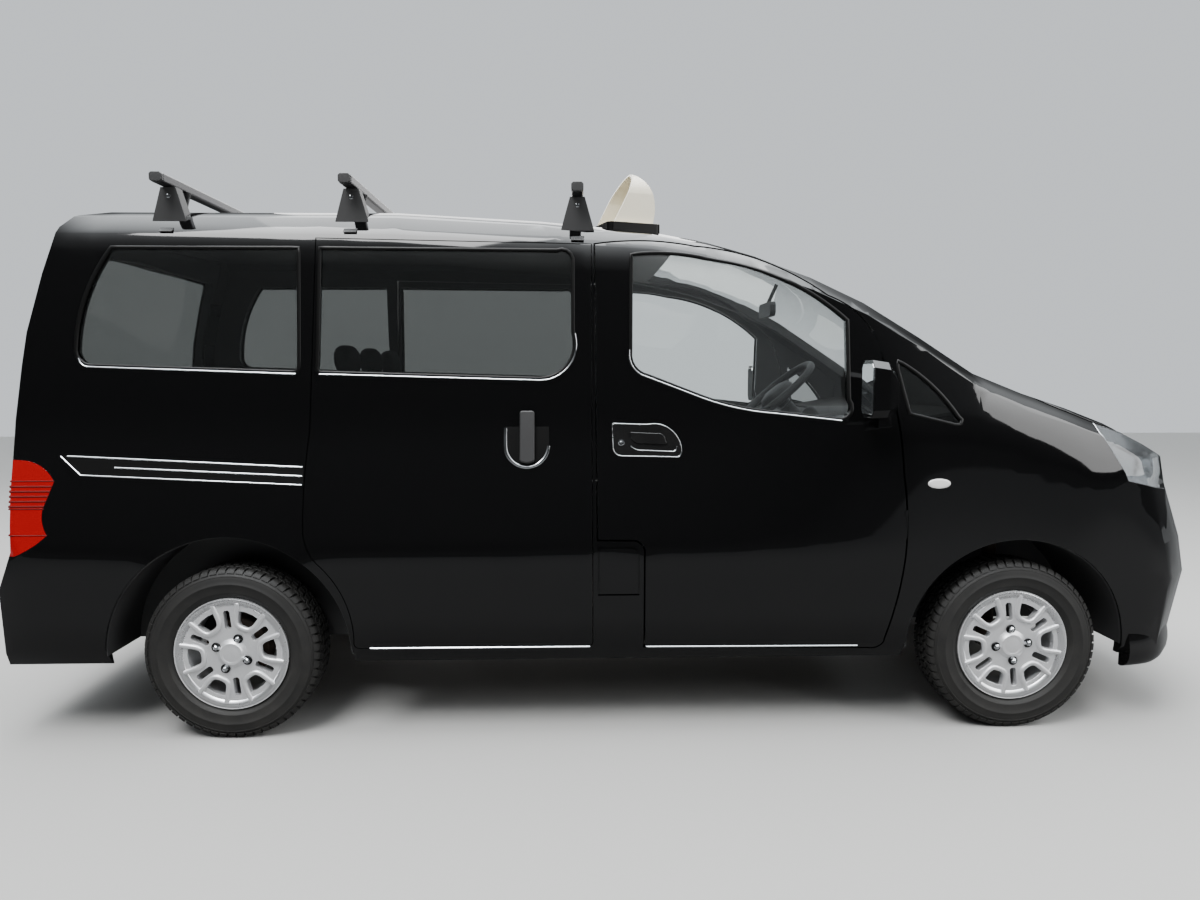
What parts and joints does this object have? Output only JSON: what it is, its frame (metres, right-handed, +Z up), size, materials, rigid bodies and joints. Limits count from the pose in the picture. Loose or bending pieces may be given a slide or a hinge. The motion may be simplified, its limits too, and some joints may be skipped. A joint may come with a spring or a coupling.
{
  "type": "camper van",
  "caption": "Compact camper van with sliding side doors, hinged front doors, bonnet and tailgate, roof bars and a roof ventilation cowl.",
  "frame": {"origin": "centre of the outline on the ground the tyres stand on", "axes": "+X to the front of the van, +Y to its left side, +Z up"},
  "size_m": [4.3978, 2.008, 2.002],
  "materials": {
    "body_paint": "gloss black",
    "clear_glass": "light tint",
    "dark_glass": "dark tint",
    "black_plastic": "grained black",
    "lamp_lens": "clear lens",
    "tail_lens": "red lens",
    "floor_metal": "satin black",
    "engine_metal": "dull",
    "tank_plastic": "moulded black",
    "axle_steel": "black painted",
    "exhaust_steel": "dull",
    "bar_metal": "dark anodised",
    "cowl_plastic": "cream",
    "seat_cloth": "woven charcoal",
    "alloy": "silver",
    "tyre_rubber": "worn"
  },
  "bodies": {
    "body": {"roof_panel": "body_paint", "side_body_right": "body_paint", "side_body_left": "body_paint", "wing_right": "body_paint", "wing_left": "body_paint", "front_bumper": "body_paint", "rear_bumper": "body_paint", "sliding_door_right": "body_paint", "sliding_door_left": "body_paint", "windscreen": "clear_glass", "side_glass": "dark_glass", "scuttle_panel": "black_plastic", "grille": "black_plastic", "wheel_arch_liners": "black_plastic", "roof_bar_feet": "black_plastic", "dashboard": "black_plastic", "room_mirror": "black_plastic", "headlamps": "lamp_lens", "tail_lamps": "tail_lens", "floor_pan": "floor_metal", "bulkhead": "floor_metal", "front_frame": "floor_metal", "engine_block": "engine_metal", "fuel_tank": "tank_plastic", "rear_axle": "axle_steel", "exhaust": "exhaust_steel", "roof_bars": "bar_metal", "vent_cowl": "cowl_plastic", "front_seats": "seat_cloth", "rear_bench": "seat_cloth"},
    "front_door_right": {"front_door_right": "body_paint", "door_glass_right": "clear_glass", "door_mirror_right": "body_paint"},
    "front_door_left": {"front_door_left": "body_paint", "door_glass_left": "clear_glass", "door_mirror_left": "body_paint"},
    "bonnet": {"bonnet": "body_paint"},
    "tailgate": {"tailgate": "body_paint", "tailgate_glass": "dark_glass"},
    "fuel_flap": {"fuel_flap": "body_paint"},
    "upright_right": {"upright_right": "axle_steel"},
    "upright_left": {"upright_left": "axle_steel"},
    "wheel_front_right": {"wheel_front_right": "alloy", "tyre_front_right": "tyre_rubber"},
    "wheel_front_left": {"wheel_front_left": "alloy", "tyre_front_left": "tyre_rubber"},
    "wheel_rear_right": {"wheel_rear_right": "alloy", "tyre_rear_right": "tyre_rubber"},
    "wheel_rear_left": {"wheel_rear_left": "alloy", "tyre_rear_left": "tyre_rubber"},
    "steering_wheel": {"steering_wheel": "black_plastic"}
  },
  "joints": [
    {"name": "front_right_steer", "type": "hinge", "parent": "body", "child": "upright_right", "pos_m": [1.362, -0.612, 0.3], "axis": [0, 0, 1], "range_deg": [-32, 32]},
    {"name": "front_left_steer", "type": "hinge", "parent": "body", "child": "upright_left", "pos_m": [1.362, 0.612, 0.3], "axis": [0, 0, 1], "range_deg": [-32, 32]},
    {"name": "steering_wheel_turn", "type": "hinge", "parent": "body", "child": "steering_wheel", "pos_m": [0.609, -0.37, 1.18], "axis": [-0.6559, 0, 0.7549], "range_deg": [-450, 450]},
    {"name": "front_right_roll", "type": "hinge", "parent": "upright_right", "child": "wheel_front_right", "pos_m": [1.362, -0.735, 0.3], "axis": [0, 1, 0], "continuous": true},
    {"name": "front_left_roll", "type": "hinge", "parent": "upright_left", "child": "wheel_front_left", "pos_m": [1.362, 0.735, 0.3], "axis": [0, 1, 0], "continuous": true},
    {"name": "rear_right_roll", "type": "hinge", "parent": "body", "child": "wheel_rear_right", "pos_m": [-1.363, -0.742, 0.3], "axis": [0, 1, 0], "continuous": true},
    {"name": "rear_left_roll", "type": "hinge", "parent": "body", "child": "wheel_rear_left", "pos_m": [-1.363, 0.742, 0.3], "axis": [0, 1, 0], "continuous": true},
    {"name": "front_door_right_hinge", "type": "hinge", "parent": "body", "child": "front_door_right", "pos_m": [0.9586, -0.8425, 0.7], "axis": [0, 0, 1], "range_deg": [0, 68]},
    {"name": "front_door_left_hinge", "type": "hinge", "parent": "body", "child": "front_door_left", "pos_m": [0.9586, 0.8425, 0.7], "axis": [0, 0, -1], "range_deg": [0, 68]},
    {"name": "bonnet_hinge", "type": "hinge", "parent": "body", "child": "bonnet", "pos_m": [1.226, 0, 1.252], "axis": [0, -1, 0], "range_deg": [0, 52]},
    {"name": "tailgate_hinge", "type": "hinge", "parent": "body", "child": "tailgate", "pos_m": [-1.938, 0, 1.795], "axis": [0, 1, 0], "range_deg": [0, 85]},
    {"name": "fuel_flap_hinge", "type": "hinge", "parent": "body", "child": "fuel_flap", "pos_m": [-0.101, -0.845, 0.588], "axis": [0, 0, -1], "range_deg": [0, 80]}
  ],
  "couplings": [
    {"joint": "front_left_steer", "follows": "front_right_steer", "ratio": 1},
    {"joint": "steering_wheel_turn", "follows": "front_right_steer", "ratio": 14}
  ]
}
